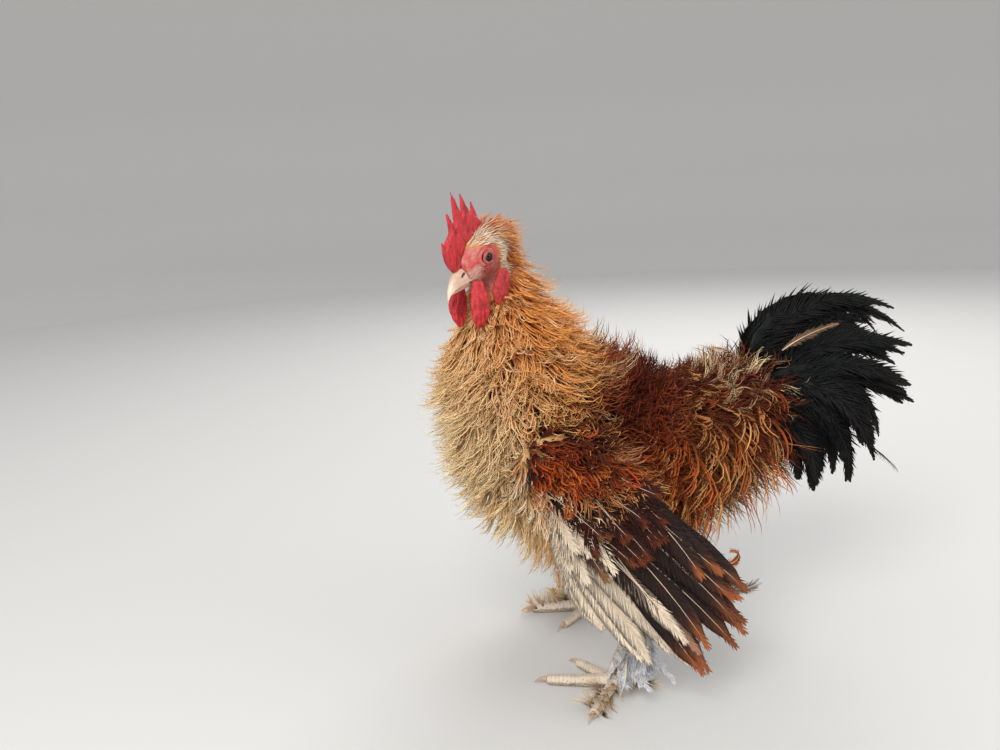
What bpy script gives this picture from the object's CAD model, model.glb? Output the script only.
"""A frizzle cock, life size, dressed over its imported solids."""

import math

import bmesh
import bpy
import numpy as np
from mathutils import Matrix, Vector, kdtree, noise


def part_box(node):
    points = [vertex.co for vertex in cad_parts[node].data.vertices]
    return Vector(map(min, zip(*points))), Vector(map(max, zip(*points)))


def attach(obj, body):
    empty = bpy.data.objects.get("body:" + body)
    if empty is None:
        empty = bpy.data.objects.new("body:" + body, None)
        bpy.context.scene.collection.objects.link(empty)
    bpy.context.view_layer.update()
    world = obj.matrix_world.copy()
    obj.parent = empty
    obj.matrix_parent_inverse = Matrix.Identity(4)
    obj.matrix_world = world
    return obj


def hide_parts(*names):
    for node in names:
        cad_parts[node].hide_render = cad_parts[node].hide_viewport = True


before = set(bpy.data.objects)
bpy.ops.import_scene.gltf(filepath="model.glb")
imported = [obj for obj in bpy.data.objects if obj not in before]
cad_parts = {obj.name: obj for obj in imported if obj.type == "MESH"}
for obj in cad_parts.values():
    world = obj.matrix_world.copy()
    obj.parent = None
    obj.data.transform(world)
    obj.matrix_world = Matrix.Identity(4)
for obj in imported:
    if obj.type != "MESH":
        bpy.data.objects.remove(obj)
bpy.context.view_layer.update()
scene = bpy.context.scene


# The camera. It stands where the picture was taken from, a little above the bird's back and turned so that
# the near side and part of the breast show. Places are first given from between the hips.
HEAD_CENTRE = Vector((-0.117, -0.0145, 0.394))
HEAD_YAW, HEAD_PITCH = math.radians(40), math.radians(20)
EYE_PLACE = (0.009, 0.015, 0.002)
FORWARD = Vector(
    (-math.cos(HEAD_YAW) * math.cos(HEAD_PITCH), -math.sin(HEAD_YAW) * math.cos(HEAD_PITCH), -math.sin(HEAD_PITCH))
)
LEFTWARD = Vector((math.sin(HEAD_YAW), -math.cos(HEAD_YAW), 0))
UPWARD = FORWARD.cross(LEFTWARD)
NEAR_EYE = HEAD_CENTRE + FORWARD * EYE_PLACE[0] + LEFTWARD * EYE_PLACE[1] + UPWARD * EYE_PLACE[2]
low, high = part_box("eye_left")
SHIFT = (low + high) / 2 - NEAR_EYE


def placed(x, y, z):
    """A point given from between the hips, in the frame of the solids."""
    return Vector((x, y, z)) + SHIFT


def head_point(forward, left, up):
    return SHIFT + HEAD_CENTRE + FORWARD * forward + LEFTWARD * left + UPWARD * up


CAMERA_PLACE = placed(-0.2573, -0.7294, 0.455)
CAMERA_YAW, CAMERA_PITCH, CAMERA_ROLL = math.radians(-12), math.radians(12.95), math.radians(-3.5)
FOCAL_PIXELS, PICTURE_WIDTH, SENSOR = 850, 1000, 36.0
camera_data = bpy.data.cameras.new("camera")
camera_data.sensor_width = SENSOR
camera_data.lens = FOCAL_PIXELS * SENSOR / PICTURE_WIDTH
camera_data.clip_start = 0.01
camera = bpy.data.objects.new("camera", camera_data)
scene.collection.objects.link(camera)
camera.matrix_world = (
    Matrix.Translation(CAMERA_PLACE)
    @ Matrix.Rotation(CAMERA_YAW, 4, "Z")
    @ Matrix.Rotation(math.radians(90) - CAMERA_PITCH, 4, "X")
    @ Matrix.Rotation(CAMERA_ROLL, 4, "Z")
)
scene.camera = camera


# The skin. One closed skin covers the trunk, neck, head, thighs and the arms of the wings, and lies well
# inside the outline that the feathers make. It is cast as one, so it has no seam.
BODY_STATIONS = (
    # middle in X and Z, lean of the line, half width, half depth, and how far the plumage stands out
    (0.160, 0.241, -16, 0.010, 0.012, 0.015),
    (0.128, 0.232, -13, 0.020, 0.021, 0.030),
    (0.094, 0.217, -9, 0.032, 0.031, 0.049),
    (0.046, 0.204, -4, 0.049, 0.047, 0.049),
    (0.000, 0.199, 1, 0.062, 0.061, 0.043),
    (-0.043, 0.206, 8, 0.066, 0.067, 0.039),
    (-0.079, 0.230, 25, 0.060, 0.062, 0.039),
    (-0.094, 0.268, 47, 0.045, 0.046, 0.045),
    (-0.098, 0.310, 68, 0.034, 0.035, 0.046),
    (-0.102, 0.348, 82, 0.022, 0.025, 0.028),
    (-0.108, 0.388, 88, 0.013, 0.015, 0.014),
)
BODY_LAST = len(BODY_STATIONS) - 1
HEAD_STATIONS = (
    # forward of the eyes, above them, half width, half height
    (-0.0285, -0.0035, 0.0045, 0.0055),
    (-0.0225, -0.0020, 0.0115, 0.0135),
    (-0.0110, 0.0000, 0.0168, 0.0192),
    (0.0040, 0.0000, 0.0172, 0.0194),
    (0.0160, -0.0020, 0.0138, 0.0168),
    (0.0240, -0.0045, 0.0106, 0.0132),
    (0.0285, -0.0060, 0.0082, 0.0104),
)
SKIN_VOXEL = 0.0021
ARM_MIDDLE, ARM_HALVES, ARM_DROOP = (-0.060, 0.090, 0.210), (0.056, 0.012, 0.036), math.radians(30)
HIP, HOCK = (-0.014, 0.048, 0.170), (0.010, 0.066, 0.092)
THIGH_RADII = ((0.0, 0.022), (0.3, 0.027), (0.6, 0.020), (1.0, 0.008))
SIDES = {"left": -1, "right": 1}


def smooth_row(rows, place):
    """The row of numbers at a place between the rows, along a smooth curve through them all."""
    first = max(0, min(int(place), len(rows) - 2))
    t = place - first
    before, a = rows[max(first - 1, 0)], rows[first]
    b, after = rows[first + 1], rows[min(first + 2, len(rows) - 1)]
    return [
        0.5 * (2 * q + (r - p) * t + (2 * p - 5 * q + 4 * r - s) * t**2 + (3 * q - p - 3 * r + s) * t**3)
        for p, q, r, s in zip(before, a, b, after)
    ]


def skinned(bm, hoops):
    """Bridges round hoops, each given as a matrix that carries a unit circle to its place."""
    edges = []
    for hoop in hoops:
        ring = bmesh.ops.create_circle(bm, segments=32, radius=1, matrix=hoop)["verts"]
        edges.append({e for v in ring for e in v.link_edges})
    for lower, upper in zip(edges, edges[1:]):
        bmesh.ops.bridge_loops(bm, edges=list(lower | upper))
    for rim in (edges[0], edges[-1]):
        bmesh.ops.holes_fill(bm, edges=list(rim))


def hoop_matrix(middle, across, over, wide, deep):
    turn = Matrix((across * wide, over * deep, across.cross(over))).transposed().to_4x4()
    return Matrix.Translation(middle) @ turn


def body_hoops(count):
    hoops = []
    for i in range(count):
        x, z, lean, wide, deep, _ = smooth_row(BODY_STATIONS, BODY_LAST * i / (count - 1))
        lean = math.radians(lean)
        over = Vector((math.sin(lean), 0, math.cos(lean)))
        hoops.append(hoop_matrix(placed(x, 0, z), Vector((0, -1, 0)), over, wide, deep))
    return hoops


def head_hoops(count):
    hoops = []
    for i in range(count):
        ahead, above, wide, tall = smooth_row(HEAD_STATIONS, (len(HEAD_STATIONS) - 1) * i / (count - 1))
        hoops.append(hoop_matrix(head_point(ahead, 0, above), LEFTWARD, UPWARD, wide, tall))
    return hoops


def thigh_hoops(sign):
    hip, hock = (placed(x, y * sign, z) for x, y, z in (HIP, HOCK))
    line = (hock - hip).normalized()
    across = line.cross(Vector((1, 0, 0))).normalized()
    return [hoop_matrix(hip.lerp(hock, share), across, line.cross(across), r, r) for share, r in THIGH_RADII]


def add_object(name, bm):
    bmesh.ops.recalc_face_normals(bm, faces=bm.faces[:])
    mesh = bpy.data.meshes.new(name)
    bm.to_mesh(mesh)
    bm.free()
    piece = bpy.data.objects.new(name, mesh)
    scene.collection.objects.link(piece)
    return piece


def cast(piece, voxel, rounds):
    """Makes one closed, even surface of all that a piece holds, and softens it."""
    remesh = piece.modifiers.new("cast", "REMESH")
    remesh.mode, remesh.voxel_size = "VOXEL", voxel
    soften = piece.modifiers.new("soften", "SMOOTH")
    soften.iterations, soften.factor = rounds, 0.5
    bpy.context.view_layer.update()
    graph = bpy.context.evaluated_depsgraph_get()
    mesh = bpy.data.meshes.new_from_object(piece.evaluated_get(graph))
    piece.modifiers.clear()
    piece.data = mesh
    mesh.name = piece.name
    mesh.shade_smooth()


skin_mesh = bmesh.new()
skinned(skin_mesh, body_hoops(23))
skinned(skin_mesh, head_hoops(11))
for sign in SIDES.values():
    skinned(skin_mesh, thigh_hoops(sign))
    middle = placed(ARM_MIDDLE[0], ARM_MIDDLE[1] * sign, ARM_MIDDLE[2])
    arm = Matrix.Translation(middle) @ Matrix.Rotation(ARM_DROOP, 4, "Y") @ Matrix.Diagonal((*ARM_HALVES, 1))
    bmesh.ops.create_uvsphere(skin_mesh, u_segments=24, v_segments=12, radius=1, matrix=arm)
skin = add_object("skin", skin_mesh)
cast(skin, SKIN_VOXEL, 6)
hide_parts("torso", "neck", "head", "thigh_left", "thigh_right")
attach(skin, "root")


# The markings. Skin and plumage are stained by the same rule: straw on the breast, orange round the neck,
# chestnut over the back, mottled wing bows, cream thighs and a brown-grey rump.
def sun(red, green, blue):
    """A paint given as it looks on a screen, as linear light."""
    return np.array([((c / 255 + 0.055) / 1.055) ** 2.4 if c > 10 else c / 3294.6 for c in (red, green, blue)])


CREAM, STRAW, BUFF = sun(250, 218, 170), sun(232, 184, 122), sun(220, 158, 92)
ORANGE, AMBER, RUST, HONEY = sun(214, 122, 50), sun(176, 84, 28), sun(128, 50, 16), sun(238, 176, 100)
CHESTNUT, OXBLOOD, UMBER = sun(80, 26, 10), sun(56, 14, 7), sun(42, 25, 18)
BLACK, GREY, TAN = sun(16, 14, 15), sun(132, 120, 112), sun(178, 140, 104)
PEARL, BLUE_WHITE = sun(232, 226, 216), sun(220, 222, 226)
FLESH, FACE_RED, GAPE = sun(190, 118, 106), sun(186, 74, 68), sun(204, 152, 138)


def rise(values, low, high):
    """0 below low, 1 above high, and smooth between."""
    t = np.clip((values - low) / (high - low), 0, 1)
    return t * t * (3 - 2 * t)


def mixed(one, two, share):
    """one where share is 0, two where it is 1. Each is a single colour or one for each share."""
    return one + (two - one) * share[:, None]


def speckle(points, scale, seed=0.0):
    """A soft random value from 0 to 1 at each point."""
    return np.array([noise.noise(Vector(p) * scale + Vector((seed, seed, seed))) for p in points]) * 0.5 + 0.5


def own(points):
    """x, y and z of points, from between the hips."""
    return (points - np.array(SHIFT)).T


def markings(points):
    """(colour at the root, colour at the tip) of the plumage at points of the skin."""
    at = points - np.array(SHIFT)
    x, y, z = at.T
    patch, fleck = speckle(at, 22, 3), speckle(at, 70, 9)
    side = np.abs(y)
    tip = mixed(RUST, BUFF, rise(x, 0.0, 0.07) * rise(side, 0.01, 0.05))
    back_dark = rise(z, 0.225, 0.262) * (1 - rise(x, 0.05, 0.11))
    tip = mixed(tip, CHESTNUT, back_dark * rise(patch, 0.42, 0.62))
    # The rump and the thighs
    rump = rise(0.197 - z + 0.25 * x, 0.0, 0.04) * rise(x, -0.01, 0.03)
    root, tip = mixed(CHESTNUT, GREY * 0.6, rump), mixed(tip, TAN * 0.62, rump)
    low = rise(0.17 - z, 0.0, 0.05) * rise(-x, -0.03, 0.02)
    root, tip = mixed(root, STRAW, low), mixed(tip, PEARL, low)
    vent = rise(x, 0.125, 0.150)
    root, tip = mixed(root, UMBER, vent), mixed(tip, GREY * 0.5, vent * 0.8)
    # The neck: orange behind, straw in front
    line = x + 0.45 * np.minimum(z - 0.25, 0.03) - 0.7 * np.maximum(z - 0.28, 0)
    neck = rise(-line, 0.042, 0.072)
    ahead = rise(-(x - 0.25 * side + 0.10 * (z - 0.25)), 0.082, 0.118)
    high = rise(z, 0.262, 0.325)
    warm = mixed(ORANGE, mixed(STRAW, BUFF, high), ahead)
    pale = mixed(HONEY, mixed(CREAM, HONEY, high * 0.5), ahead)
    root, tip = mixed(root, warm, neck), mixed(tip, pale, neck)
    nape = neck * (1 - ahead) * rise(z, 0.27, 0.33)
    root, tip = mixed(root, ORANGE * 0.85, nape * 0.8), mixed(tip, HONEY * np.array([0.93, 0.76, 0.66]), nape * 0.6)
    return mixed(root, AMBER, neck * rise(fleck, 0.58, 0.8) * 0.6), tip


def stain(piece, colours):
    """Writes a colour for each vertex, for the material to read."""
    layer = piece.data.color_attributes.new("stain", "FLOAT_COLOR", "POINT")
    rgba = np.ones((len(colours), 4), np.float32)
    rgba[:, :3] = np.clip(colours, 0, 1)
    layer.data.foreach_set("color", rgba.ravel())


def vertex_rows(mesh, what="co"):
    """The place of each vertex, or its normal."""
    rows = np.zeros(len(mesh.vertices) * 3, np.float32)
    mesh.vertices.foreach_get(what, rows)
    return rows.reshape(-1, 3).astype(float)


def in_head(points):
    """Points in the head's own frame: forward, left and up of the middle between the eyes."""
    away = points - np.array(SHIFT + HEAD_CENTRE)
    return away @ np.array([FORWARD, LEFTWARD, UPWARD]).T


class Paint:
    """A socket of a material's node tree that can be reckoned with like a number or a colour."""

    def __init__(self, tree, socket):
        self.tree, self.socket = tree, socket

    def node(self, kind, settings=None, **inputs):
        """A new node. settings go on it first, then the values or links of its inputs by name."""
        made = self.tree.nodes.new(kind)
        for name, value in (settings or {}).items():
            setattr(made, name, value)
        for name, value in inputs.items():
            socket = made.inputs[int(name[1:])] if name[1:].isdigit() else made.inputs[name.replace("_", " ")]
            self.feed(socket, value)
        return made

    def feed(self, socket, value):
        if isinstance(value, Paint):
            self.tree.links.new(value.socket, socket)
        else:
            socket.default_value = value

    def take(self, node, output=0):
        return Paint(self.tree, node.outputs[output])

    def is_colour(self):
        return self.socket.type in ("RGBA", "VECTOR")

    def reckon(self, operation, one, two):
        if any(isinstance(v, Paint) and v.is_colour() for v in (one, two)):
            one, two = ((v,) * 3 if isinstance(v, (int, float)) else v for v in (one, two))
            return self.take(self.node("ShaderNodeVectorMath", {"operation": operation}, _0=one, _1=two))
        return self.take(self.node("ShaderNodeMath", {"operation": operation}, _0=one, _1=two))

    def __add__(self, other):
        return self.reckon("ADD", self, other)

    def __sub__(self, other):
        return self.reckon("SUBTRACT", self, other)

    def __mul__(self, other):
        return self.reckon("MULTIPLY", self, other)

    def __rsub__(self, other):
        return self.reckon("SUBTRACT", other, self)

    __radd__, __rmul__ = __add__, __mul__

    def mix(self, one, two):
        """one where this is 0, two where it is 1."""
        made = self.node("ShaderNodeMix", {"data_type": "RGBA"}, Factor=self)
        self.feed(made.inputs[6], one)
        self.feed(made.inputs[7], two)
        return self.take(made, 2)

    def span(self, low, high):
        """This value stretched so that low gives 0 and high gives 1."""
        settings = {"clamp": True}
        return self.take(self.node("ShaderNodeMapRange", settings, Value=self, From_Min=low, From_Max=high))


def new_material(name, roughness, inner=None, **fixed):
    """(material, its shader, a Paint to start from). inner is how far red, green and blue light goes in."""
    made = bpy.data.materials.new(name)
    made.use_nodes = True
    shader = made.node_tree.nodes["Principled BSDF"]
    shader.inputs["Roughness"].default_value = roughness
    for socket, value in fixed.items():
        shader.inputs[socket.replace("_", " ")].default_value = value
    if inner:
        shader.inputs["Subsurface Radius"].default_value = inner
    return made, shader, Paint(made.node_tree, None)


def object_places(brush):
    return brush.take(brush.node("ShaderNodeTexCoord"), 3)


def grain(brush, scale, detail=3.0, kind="ShaderNodeTexNoise", **more):
    inputs = {"Vector": object_places(brush), "Scale": scale}
    if kind == "ShaderNodeTexNoise":
        inputs["Detail"] = detail
    return brush.take(brush.node(kind, more, **inputs))


def bump(brush, height, distance):
    return brush.take(brush.node("ShaderNodeBump", None, Height=height, Strength=1.0, Distance=distance))


def stained(brush):
    return brush.take(brush.node("ShaderNodeAttribute", {"attribute_name": "stain"}))


def lay(shader, brush, tone, rough=None, height=None, depth=0.0, sheen=None):
    """Feeds a finish: its stain times tone, its roughness, the height and depth of a fine relief, and a sheen."""
    base = stained(brush) * tone
    brush.feed(shader.inputs["Base Color"], base if sheen is None else base + sheen)
    if rough is not None:
        brush.feed(shader.inputs["Roughness"], rough)
    if height is not None:
        brush.feed(shader.inputs["Normal"], bump(brush, height, depth))


def finish_with(piece, material):
    piece.data.materials.clear()
    piece.data.materials.append(material)


def hung(piece, material, slot, *nodes):
    """Finishes a piece that rides on the bird, and puts it in the place of its nodes, if it has any."""
    finish_with(piece, material)
    if nodes:
        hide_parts(*nodes)
    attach(piece, "root")


# The face. Bare skin, finely wrinkled, rises round the eyes as lids, folds at the corners of the mouth and is
# drawn in below the brow. The skin is made finer here before it is worked.
MOUTH_CORNER, CREASES = (0.019, -0.0135), 3400
GAZE = (0.26, 0.96, 0.05)
LID_FOLDS = (
    # height of a fold round the eye, its distance from the eye's middle, its breadth
    (0.0019, 0.0062, 0.0017),
    (0.0008, 0.0098, 0.0010),
    (-0.0010, 0.0081, 0.0008),
)


def on_face(points):
    """1 on the bare face, and 0 where small feathers grow."""
    ahead, left, up = in_head(points).T
    rim = 0.010 * np.sin(left * 300) ** 2 * 0.3
    bare = rise(ahead - rim, -0.012, -0.003) * rise(up + 0.35 * ahead, -0.036, -0.028)
    bare = bare * rise(0.0125 + 0.22 * ahead - up, 0.0, 0.005)
    return bare * rise(0.040 - np.sqrt(ahead**2 + left**2 + up**2), 0.0, 0.006)


def eye_round(points, side):
    """How far points lie from the line out of an eye, and how far along it."""
    sign = -SIDES[side]
    middle = np.array([EYE_PLACE[0], EYE_PLACE[1] * sign, EYE_PLACE[2]])
    away = in_head(points) - middle
    axis = np.array([GAZE[0], GAZE[1] * sign, GAZE[2]])
    axis = axis / np.linalg.norm(axis)
    out = away @ axis
    flat = away - out[:, None] * axis
    return np.hypot(flat[:, 0] * 0.94 + flat[:, 2] * 0.22, flat[:, 2] * 1.10), out


def face_relief(points):
    ahead, _, up = in_head(points).T
    height = 0.0007 * (speckle(points, 520, 2) - 0.5) + 0.0011 * (speckle(points, 190, 8) - 0.5)
    for side in SIDES:
        near, out = eye_round(points, side)
        here = rise(out, -0.004, 0.001)
        for high, place, broad in LID_FOLDS:
            height += here * high * np.exp(-(((near - place) / broad) ** 2))
        height -= here * 0.0022 * rise(0.0052 - near, 0, 0.001)
        height += here * 0.0003 * np.sin(near * 5200) * rise(near, 0.009, 0.011) * rise(0.018 - near, 0, 0.004)
    corner = np.hypot(ahead - MOUTH_CORNER[0], up - MOUTH_CORNER[1])
    height += 0.0008 * np.sin(corner * CREASES) * rise(0.012 - corner, 0, 0.005) * rise(corner, 0.0015, 0.003)
    height += 0.0012 * rise(0.006 - np.abs(up - 0.0125), 0, 0.004) * rise(0.012 - np.abs(ahead - 0.008), 0, 0.006)
    return height


finer = bmesh.new()
finer.from_mesh(skin.data)
for _ in range(2):
    finer.verts.ensure_lookup_table()
    bare = on_face(np.array([v.co for v in finer.verts]))
    inner = [e for e in finer.edges if bare[e.verts[0].index] > 0.02 and bare[e.verts[1].index] > 0.02]
    bmesh.ops.subdivide_edges(finer, edges=inner, cuts=1, use_grid_fill=True)
    finer.verts.index_update()
    worked = [v for v in finer.verts if on_face(np.array([v.co]))[0] > 0.02]
    for _ in range(3):
        bmesh.ops.smooth_vert(finer, verts=worked, factor=0.5, use_axis_x=True, use_axis_y=True, use_axis_z=True)
finer.normal_update()
places = np.array([v.co for v in finer.verts])
normals = np.array([v.normal for v in finer.verts])
shift = face_relief(places) * on_face(places)
for v, place in zip(finer.verts, places + normals * shift[:, None]):
    v.co = place
finer.to_mesh(skin.data)
finer.free()
skin.data.shade_smooth()


skin_material, shader, brush = new_material(
    "bare_skin", 0.5, (1.0, 0.35, 0.25), Subsurface_Weight=0.12, Subsurface_Scale=0.004
)
folds, pores = grain(brush, 320, 4), grain(brush, 900, 2)
lay(shader, brush, folds.span(0.2, 0.8) * 0.45 + 0.75, None, folds * 0.7 + pores * 0.3, 0.0009)
finish_with(skin, skin_material)
skin_places = vertex_rows(skin.data)
roots = markings(skin_places)[0]
flush = speckle(skin_places, 150, 5)
face = mixed(FLESH, FACE_RED, rise(flush, 0.35, 0.7))
for side in SIDES:
    near, out = eye_round(skin_places, side)
    face = mixed(face, FACE_RED, rise(0.014 - near, 0, 0.005) * rise(out, -0.004, 0.0) * 0.6)
ahead, _, up = in_head(skin_places).T
face = mixed(face, GAPE, rise(ahead, 0.013, 0.020) * rise(0.001 - 0.3 * (ahead - 0.02) - up, 0.0, 0.005))
corner = np.hypot(ahead - MOUTH_CORNER[0], up - MOUTH_CORNER[1])
crease = np.sin(corner * CREASES) * rise(0.013 - corner, 0, 0.004)
face = face * (1 - 0.35 * rise(-crease, 0.2, 0.9))[:, None]
stain(skin, mixed(roots * 0.8, face, on_face(skin_places)))


# The hackle. Long narrow feathers clothe the neck from the head to the shoulders. Each stands up from the
# skin, lies down along the neck and curls outward at its pale tip. All are joined into one mesh.
DOWN = np.array([0.0, 0.0, -1.0])
PATCH = 0.003


def unit(vectors):
    return vectors / np.maximum(np.linalg.norm(vectors, axis=-1, keepdims=True), 1e-9)


def surface_points(piece, inside, spacing, seed, crowd=5.0):
    """(points, outward normals) spread evenly over the part of a surface that inside() keeps."""
    mesh = piece.data
    mesh.calc_loop_triangles()
    co = vertex_rows(mesh)
    triangles = np.zeros(len(mesh.loop_triangles) * 3, np.int32)
    mesh.loop_triangles.foreach_get("vertices", triangles)
    a, b, c = (co[triangles.reshape(-1, 3)[:, k]] for k in range(3))
    keep = inside((a + b + c) / 3)
    a, b, c = a[keep], b[keep], c[keep]
    normal = np.cross(b - a, c - a)
    area = np.linalg.norm(normal, axis=1) / 2
    rng = np.random.default_rng(seed)
    count = int(area.sum() / spacing**2 * crowd)
    pick = rng.choice(len(area), count, p=area / area.sum())
    u, v = rng.random((2, count))
    flip = u + v > 1
    u[flip], v[flip] = 1 - u[flip], 1 - v[flip]
    points = a[pick] + (b - a)[pick] * u[:, None] + (c - a)[pick] * v[:, None]
    tree = kdtree.KDTree(count)
    for i, point in enumerate(points):
        tree.insert(point, i)
    tree.balance()
    taken, blocked = [], np.zeros(count, bool)
    for i in range(count):
        if not blocked[i]:
            taken.append(i)
            for _, j, _ in tree.find_range(points[i], spacing):
                blocked[j] = True
    return points[taken], unit(normal[pick][taken])


STOPS = np.linspace(0, BODY_LAST, 241)
LINE = np.array([smooth_row(BODY_STATIONS, s) for s in STOPS])
LINE_MIDDLE = np.stack([LINE[:, 0], np.zeros(len(STOPS)), LINE[:, 1]], 1) + np.array(SHIFT)
LINE_AHEAD = unit(np.gradient(LINE_MIDDLE, axis=0))


def on_body(points):
    """(stations from the rump, angle round from the back, direction towards the tail) of points."""
    nearest = np.concatenate(
        [
            np.argmin(np.linalg.norm(part[:, None] - LINE_MIDDLE[None], axis=2), axis=1)
            for part in np.array_split(points, max(1, len(points) // 4000))
        ]
    )
    ahead, away = LINE_AHEAD[nearest], points - LINE_MIDDLE[nearest]
    dorsal = np.stack([ahead[:, 2], np.zeros(len(points)), -ahead[:, 0]], 1)
    around = np.arctan2(-away[:, 1], (away * dorsal).sum(1))
    return STOPS[nearest], around, -ahead


def along_skin(direction, outward):
    return unit(direction - outward * (direction * outward).sum(1, keepdims=True))


def courses(
    root, outward, lie, rng, steps, length, lift=0.0, low=0.0, curl=0.0, fall=0.0, settle=0.4, power=2.0, sway=0.15,
    waves=1.0, drift=0.0, lean=0.18, splay=0.22, spread=0.2, strands=1, sunk=0.001
):
    """(places, directions, side) of each strand's line, step by step. It stands up by lift, settles to low above
    the skin, curls outward by curl on its way to the tip, sags by fall, bends by drift and wavers by sway. The
    strands of one feather lie next to each other in the rows, share its draws and splay apart from one root."""
    count = len(root)

    def shared(values):
        return np.repeat(values, strands)

    def uneven(value):
        whole = shared(rng.uniform(-1, 1, count // strands))
        return value * (1 + spread * (0.8 * whole + 0.35 * rng.uniform(-1, 1, count)))

    length, lift, low, curl, fall = (uneven(v) for v in (length, lift, low, curl, fall))
    phase = shared(rng.uniform(0, 2 * math.pi, count // strands)) + rng.normal(0, 0.35, count)
    turn = shared(rng.normal(0, lean, count // strands))
    if strands > 1:
        turn = turn + np.tile(np.linspace(-1, 1, strands), count // strands) * splay
    side = np.cross(lie, outward)
    lie = unit(lie + side * turn[:, None])
    place = root - outward * sunk
    places, directions = [], []
    for k in range(steps + 1):
        t = k / steps
        angle = np.radians(lift * max(1 - t / settle, 0)) + np.radians(low + curl * t**power)
        heading = lie * np.cos(angle)[:, None] + outward * np.sin(angle)[:, None]
        heading = heading + DOWN * (fall * t)[:, None] + drift * t**2
        heading = heading + side * (sway * np.sin(waves * math.pi * t + phase) * t**0.5)[:, None]
        heading = unit(heading)
        places.append(place)
        directions.append(heading)
        place = place + heading * (length / steps)[:, None]
    return np.stack(places, 1), np.stack(directions, 1), side


def narrow_outline(t):
    return (0.55 + 0.45 * np.sin(math.pi * np.minimum(t / 0.85, 1))) * (1 - 0.35 * t)


class Plumage:
    """Gathers feathers of one tract and joins them into a single mesh."""

    def __init__(self, seed):
        self.rng = np.random.default_rng(seed)
        self.places, self.quads, self.threes, self.colours, self.patches = [], [], [], [], []
        self.count = 0

    def tones(self, count, strands):
        """A random value from 0 to 1 for each feather, shared by its strands."""
        return np.repeat(self.rng.uniform(0, 1, count // strands), strands)

    def add(
        self, lines, width, thick, root_colour, tip_colour, patch, outline=narrow_outline, fray=0.15, turn=0.5,
        blend=(0.15, 0.85), shade=0.16
    ):
        """Feathers along the lines. Each is a thin closed blade with a low ridge on its outer face."""
        places, directions, side = lines
        count, steps = places.shape[0], places.shape[1] - 1
        rng = self.rng
        t = np.arange(steps) / steps
        across = unit(side[:, None] - directions * (side[:, None] * directions).sum(2, keepdims=True))
        over = np.cross(across, directions)
        roll = rng.normal(0, turn, count)[:, None] + rng.normal(0, turn, count)[:, None] * np.linspace(0, 1, steps + 1)
        across, over = (
            across * np.cos(roll)[..., None] + over * np.sin(roll)[..., None],
            over * np.cos(roll)[..., None] - across * np.sin(roll)[..., None],
        )
        half = 0.5 * np.broadcast_to(width, (count,))[:, None] * outline(t)[None]
        half = half * (1 + fray * rng.uniform(-1, 1, (count, steps)))
        high = thick * (1 - 0.6 * t)[None] * np.ones((count, 1))
        ring = np.stack(
            [
                places[:, :-1] + across[:, :-1] * half[..., None],
                places[:, :-1] + over[:, :-1] * high[..., None],
                places[:, :-1] - across[:, :-1] * half[..., None],
            ],
            2,
        )
        size = 3 * steps + 1
        mesh = np.concatenate([ring.reshape(count, -1, 3), places[:, -1:]], 1)
        starts = self.count + np.arange(count)[:, None] * size
        rows = np.arange(steps - 1)[:, None] * 3
        quad = np.concatenate([rows + np.array([[i, i + 3, (i + 1) % 3 + 3, (i + 1) % 3]]) for i in range(3)])
        last = 3 * (steps - 1)
        three = np.array([[last + i, size - 1, last + (i + 1) % 3] for i in range(3)] + [[0, 1, 2]])
        self.places.append(mesh.reshape(-1, 3))
        self.quads.append((starts[:, :, None] + quad[None]).reshape(-1, 4))
        self.threes.append((starts[:, :, None] + three[None]).reshape(-1, 3))
        share = np.concatenate([np.repeat(t, 3), [1.0]])
        toned = rise(share, *blend)[None, :, None]
        ridge = 1 + 0.12 * np.tile([0, 1, 0], steps + 1)[:size]
        light = (1 + shade * rng.uniform(-1, 1, (count, 1, 1))) * ridge[None, :, None]
        root_colour, tip_colour = (np.broadcast_to(c, (count, 3)) for c in (root_colour, tip_colour))
        colour = (root_colour[:, None] * (1 - toned) + tip_colour[:, None] * toned) * light
        self.colours.append(colour.reshape(-1, 3))
        offset = np.stack([np.concatenate([np.tile([0.0, 0.5, 1.0], steps), [0.5]]), share], 1) * PATCH
        self.patches.append((patch[:, None] + offset[None]).reshape(-1, 2))
        self.count += count * size

    def join(self, name):
        places = np.concatenate(self.places).astype(np.float32)
        places[:, 2] = np.maximum(places[:, 2], 0.0004)
        quads, threes = np.concatenate(self.quads), np.concatenate(self.threes)
        mesh = bpy.data.meshes.new(name)
        mesh.vertices.add(len(places))
        mesh.vertices.foreach_set("co", places.ravel())
        corners = np.concatenate([quads.ravel(), threes.ravel()]).astype(np.int32)
        mesh.loops.add(len(corners))
        mesh.loops.foreach_set("vertex_index", corners)
        starts = np.concatenate([np.arange(len(quads)) * 4, len(quads) * 4 + np.arange(len(threes)) * 3])
        mesh.polygons.add(len(starts))
        mesh.polygons.foreach_set("loop_start", starts.astype(np.int32))
        mesh.update(calc_edges=True)
        piece = bpy.data.objects.new(name, mesh)
        scene.collection.objects.link(piece)
        stain(piece, np.concatenate(self.colours))
        patches = np.concatenate(self.patches).astype(np.float32)
        mesh.uv_layers.new(name="OFBake").data.foreach_set("uv", patches[corners].ravel())
        mesh.shade_smooth()
        return piece


def body_patch(points):
    """Where roots lie on the skin's own unwrap: along the body's line, and round it."""
    place, around, _ = on_body(points)
    return np.stack([0.02 + 0.95 * (around / (2 * math.pi) + 0.5), 0.02 + 0.95 * place / BODY_LAST], 1)


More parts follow.
